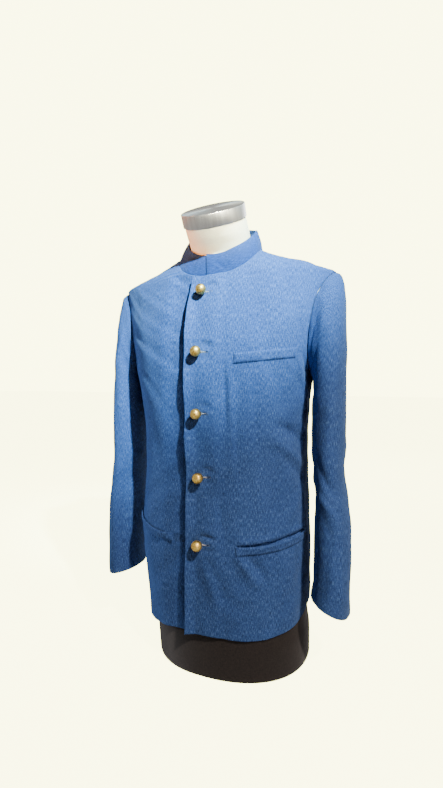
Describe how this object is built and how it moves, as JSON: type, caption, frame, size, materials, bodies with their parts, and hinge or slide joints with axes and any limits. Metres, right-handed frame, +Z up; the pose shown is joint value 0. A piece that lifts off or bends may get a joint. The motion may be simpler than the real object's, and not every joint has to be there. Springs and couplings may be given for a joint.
{
  "type": "mao jacket on a dress form",
  "caption": "Stand-collar jacket of blue chambray with ball buttons and welt pockets, filled out on a limbless tailor's form with a capped neck",
  "frame": {"origin": "on the surface that the form stands on, under the middle of the whole", "axes": "+Z up, the front faces -Y, the wearer's left is +X"},
  "size_m": [0.5168, 0.283, 0.9213],
  "materials": {
    "chambray": "heathered blue chambray, a fine twill with pale flecks",
    "chambray_collar": "the same blue chambray, pressed over a stiff collar",
    "linen": "plain off-white linen stretched smooth",
    "black_cloth": "plain black covering cloth",
    "steel": "brushed along the axis",
    "brass": "antique, softly dimpled"
  },
  "bodies": {
    "root": {"front_left": "chambray", "front_right": "chambray", "back_left": "chambray", "back_right": "chambray", "collar": "chambray_collar", "chest_welt": "chambray", "pocket_welt_left": "chambray", "pocket_welt_right": "chambray", "top_sleeve_left": "chambray", "under_sleeve_left": "chambray", "top_sleeve_right": "chambray", "under_sleeve_right": "chambray", "button_1": "brass", "button_2": "brass", "button_3": "brass", "button_4": "brass", "button_5": "brass", "form_body": "linen", "form_base": "black_cloth", "form_neck_cap": "steel"}
  },
  "joints": []
}
